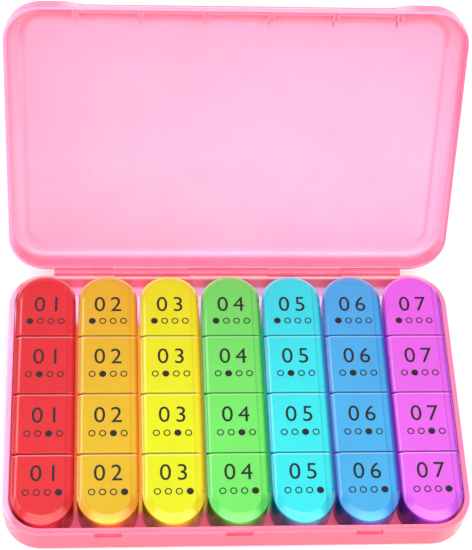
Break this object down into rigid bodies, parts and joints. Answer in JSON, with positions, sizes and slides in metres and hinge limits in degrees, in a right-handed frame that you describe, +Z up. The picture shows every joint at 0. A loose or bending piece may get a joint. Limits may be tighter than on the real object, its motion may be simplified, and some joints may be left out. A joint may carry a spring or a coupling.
{
  "type": "weekly pill organizer case",
  "caption": "Clamshell pill case with a hinged lid, lift-out round-ended day boxes side by side in its tray, and hinged flip lids over the wells of each box.",
  "frame": {"origin": "middle of the tray's underside", "axes": "+X across the days from the first box to the last, +Y from the opening edge to the case hinge, +Z up"},
  "size_m": [0.22, 0.2159, 0.1471],
  "materials": {
    "case_pink": "gloss",
    "pin_steel": "drawn wire",
    "day_red": "gloss",
    "day_orange": "gloss",
    "day_yellow": "gloss",
    "day_green": "gloss",
    "day_cyan": "gloss",
    "day_blue": "gloss",
    "day_magenta": "gloss"
  },
  "bodies": {
    "tray": {"base_tray": "case_pink", "hinge_pin": "pin_steel"},
    "case_lid": {"case_lid": "case_pink"},
    "day_1_box": {"day_1_box": "day_red"},
    "day_1_lid_1": {"day_1_lid_1": "day_red"},
    "day_1_lid_2": {"day_1_lid_2": "day_red"},
    "day_1_lid_3": {"day_1_lid_3": "day_red"},
    "day_1_lid_4": {"day_1_lid_4": "day_red"},
    "day_2_box": {"day_2_box": "day_orange"},
    "day_2_lid_1": {"day_2_lid_1": "day_orange"},
    "day_2_lid_2": {"day_2_lid_2": "day_orange"},
    "day_2_lid_3": {"day_2_lid_3": "day_orange"},
    "day_2_lid_4": {"day_2_lid_4": "day_orange"},
    "day_3_box": {"day_3_box": "day_yellow"},
    "day_3_lid_1": {"day_3_lid_1": "day_yellow"},
    "day_3_lid_2": {"day_3_lid_2": "day_yellow"},
    "day_3_lid_3": {"day_3_lid_3": "day_yellow"},
    "day_3_lid_4": {"day_3_lid_4": "day_yellow"},
    "day_4_box": {"day_4_box": "day_green"},
    "day_4_lid_1": {"day_4_lid_1": "day_green"},
    "day_4_lid_2": {"day_4_lid_2": "day_green"},
    "day_4_lid_3": {"day_4_lid_3": "day_green"},
    "day_4_lid_4": {"day_4_lid_4": "day_green"},
    "day_5_box": {"day_5_box": "day_cyan"},
    "day_5_lid_1": {"day_5_lid_1": "day_cyan"},
    "day_5_lid_2": {"day_5_lid_2": "day_cyan"},
    "day_5_lid_3": {"day_5_lid_3": "day_cyan"},
    "day_5_lid_4": {"day_5_lid_4": "day_cyan"},
    "day_6_box": {"day_6_box": "day_blue"},
    "day_6_lid_1": {"day_6_lid_1": "day_blue"},
    "day_6_lid_2": {"day_6_lid_2": "day_blue"},
    "day_6_lid_3": {"day_6_lid_3": "day_blue"},
    "day_6_lid_4": {"day_6_lid_4": "day_blue"},
    "day_7_box": {"day_7_box": "day_magenta"},
    "day_7_lid_1": {"day_7_lid_1": "day_magenta"},
    "day_7_lid_2": {"day_7_lid_2": "day_magenta"},
    "day_7_lid_3": {"day_7_lid_3": "day_magenta"},
    "day_7_lid_4": {"day_7_lid_4": "day_magenta"}
  },
  "joints": [
    {"name": "case_lid_hinge", "type": "hinge", "parent": "tray", "child": "case_lid", "pos_m": [0, 0.0723, 0.0195], "axis": [-1, 0, 0], "range_deg": [-116.6, 0]},
    {"name": "day_1_lift", "type": "slide", "parent": "tray", "child": "day_1_box", "axis": [0, 0, 1], "range_m": [0, 0.03]},
    {"name": "day_1_lid_1_hinge", "type": "hinge", "parent": "day_1_box", "child": "day_1_lid_1", "pos_m": [-0.0788, 0.048, 0.0236], "axis": [0, 1, 0], "range_deg": [0, 105]},
    {"name": "day_1_lid_2_hinge", "type": "hinge", "parent": "day_1_box", "child": "day_1_lid_2", "pos_m": [-0.0788, 0.016, 0.0236], "axis": [0, 1, 0], "range_deg": [0, 105]},
    {"name": "day_1_lid_3_hinge", "type": "hinge", "parent": "day_1_box", "child": "day_1_lid_3", "pos_m": [-0.0788, -0.016, 0.0236], "axis": [0, 1, 0], "range_deg": [0, 105]},
    {"name": "day_1_lid_4_hinge", "type": "hinge", "parent": "day_1_box", "child": "day_1_lid_4", "pos_m": [-0.0788, -0.048, 0.0236], "axis": [0, 1, 0], "range_deg": [0, 105]},
    {"name": "day_2_lift", "type": "slide", "parent": "tray", "child": "day_2_box", "axis": [0, 0, 1], "range_m": [0, 0.03]},
    {"name": "day_2_lid_1_hinge", "type": "hinge", "parent": "day_2_box", "child": "day_2_lid_1", "pos_m": [-0.0483, 0.048, 0.0236], "axis": [0, 1, 0], "range_deg": [0, 105]},
    {"name": "day_2_lid_2_hinge", "type": "hinge", "parent": "day_2_box", "child": "day_2_lid_2", "pos_m": [-0.0483, 0.016, 0.0236], "axis": [0, 1, 0], "range_deg": [0, 105]},
    {"name": "day_2_lid_3_hinge", "type": "hinge", "parent": "day_2_box", "child": "day_2_lid_3", "pos_m": [-0.0483, -0.016, 0.0236], "axis": [0, 1, 0], "range_deg": [0, 105]},
    {"name": "day_2_lid_4_hinge", "type": "hinge", "parent": "day_2_box", "child": "day_2_lid_4", "pos_m": [-0.0483, -0.048, 0.0236], "axis": [0, 1, 0], "range_deg": [0, 105]},
    {"name": "day_3_lift", "type": "slide", "parent": "tray", "child": "day_3_box", "axis": [0, 0, 1], "range_m": [0, 0.03]},
    {"name": "day_3_lid_1_hinge", "type": "hinge", "parent": "day_3_box", "child": "day_3_lid_1", "pos_m": [-0.0178, 0.048, 0.0236], "axis": [0, 1, 0], "range_deg": [0, 105]},
    {"name": "day_3_lid_2_hinge", "type": "hinge", "parent": "day_3_box", "child": "day_3_lid_2", "pos_m": [-0.0178, 0.016, 0.0236], "axis": [0, 1, 0], "range_deg": [0, 105]},
    {"name": "day_3_lid_3_hinge", "type": "hinge", "parent": "day_3_box", "child": "day_3_lid_3", "pos_m": [-0.0178, -0.016, 0.0236], "axis": [0, 1, 0], "range_deg": [0, 105]},
    {"name": "day_3_lid_4_hinge", "type": "hinge", "parent": "day_3_box", "child": "day_3_lid_4", "pos_m": [-0.0178, -0.048, 0.0236], "axis": [0, 1, 0], "range_deg": [0, 105]},
    {"name": "day_4_lift", "type": "slide", "parent": "tray", "child": "day_4_box", "axis": [0, 0, 1], "range_m": [0, 0.03]},
    {"name": "day_4_lid_1_hinge", "type": "hinge", "parent": "day_4_box", "child": "day_4_lid_1", "pos_m": [0.0127, 0.048, 0.0236], "axis": [0, 1, 0], "range_deg": [0, 105]},
    {"name": "day_4_lid_2_hinge", "type": "hinge", "parent": "day_4_box", "child": "day_4_lid_2", "pos_m": [0.0127, 0.016, 0.0236], "axis": [0, 1, 0], "range_deg": [0, 105]},
    {"name": "day_4_lid_3_hinge", "type": "hinge", "parent": "day_4_box", "child": "day_4_lid_3", "pos_m": [0.0127, -0.016, 0.0236], "axis": [0, 1, 0], "range_deg": [0, 105]},
    {"name": "day_4_lid_4_hinge", "type": "hinge", "parent": "day_4_box", "child": "day_4_lid_4", "pos_m": [0.0127, -0.048, 0.0236], "axis": [0, 1, 0], "range_deg": [0, 105]},
    {"name": "day_5_lift", "type": "slide", "parent": "tray", "child": "day_5_box", "axis": [0, 0, 1], "range_m": [0, 0.03]},
    {"name": "day_5_lid_1_hinge", "type": "hinge", "parent": "day_5_box", "child": "day_5_lid_1", "pos_m": [0.0432, 0.048, 0.0236], "axis": [0, 1, 0], "range_deg": [0, 105]},
    {"name": "day_5_lid_2_hinge", "type": "hinge", "parent": "day_5_box", "child": "day_5_lid_2", "pos_m": [0.0432, 0.016, 0.0236], "axis": [0, 1, 0], "range_deg": [0, 105]},
    {"name": "day_5_lid_3_hinge", "type": "hinge", "parent": "day_5_box", "child": "day_5_lid_3", "pos_m": [0.0432, -0.016, 0.0236], "axis": [0, 1, 0], "range_deg": [0, 105]},
    {"name": "day_5_lid_4_hinge", "type": "hinge", "parent": "day_5_box", "child": "day_5_lid_4", "pos_m": [0.0432, -0.048, 0.0236], "axis": [0, 1, 0], "range_deg": [0, 105]},
    {"name": "day_6_lift", "type": "slide", "parent": "tray", "child": "day_6_box", "axis": [0, 0, 1], "range_m": [0, 0.03]},
    {"name": "day_6_lid_1_hinge", "type": "hinge", "parent": "day_6_box", "child": "day_6_lid_1", "pos_m": [0.0737, 0.048, 0.0236], "axis": [0, 1, 0], "range_deg": [0, 105]},
    {"name": "day_6_lid_2_hinge", "type": "hinge", "parent": "day_6_box", "child": "day_6_lid_2", "pos_m": [0.0737, 0.016, 0.0236], "axis": [0, 1, 0], "range_deg": [0, 105]},
    {"name": "day_6_lid_3_hinge", "type": "hinge", "parent": "day_6_box", "child": "day_6_lid_3", "pos_m": [0.0737, -0.016, 0.0236], "axis": [0, 1, 0], "range_deg": [0, 105]},
    {"name": "day_6_lid_4_hinge", "type": "hinge", "parent": "day_6_box", "child": "day_6_lid_4", "pos_m": [0.0737, -0.048, 0.0236], "axis": [0, 1, 0], "range_deg": [0, 105]},
    {"name": "day_7_lift", "type": "slide", "parent": "tray", "child": "day_7_box", "axis": [0, 0, 1], "range_m": [0, 0.03]},
    {"name": "day_7_lid_1_hinge", "type": "hinge", "parent": "day_7_box", "child": "day_7_lid_1", "pos_m": [0.1042, 0.048, 0.0236], "axis": [0, 1, 0], "range_deg": [0, 105]},
    {"name": "day_7_lid_2_hinge", "type": "hinge", "parent": "day_7_box", "child": "day_7_lid_2", "pos_m": [0.1042, 0.016, 0.0236], "axis": [0, 1, 0], "range_deg": [0, 105]},
    {"name": "day_7_lid_3_hinge", "type": "hinge", "parent": "day_7_box", "child": "day_7_lid_3", "pos_m": [0.1042, -0.016, 0.0236], "axis": [0, 1, 0], "range_deg": [0, 105]},
    {"name": "day_7_lid_4_hinge", "type": "hinge", "parent": "day_7_box", "child": "day_7_lid_4", "pos_m": [0.1042, -0.048, 0.0236], "axis": [0, 1, 0], "range_deg": [0, 105]}
  ]
}
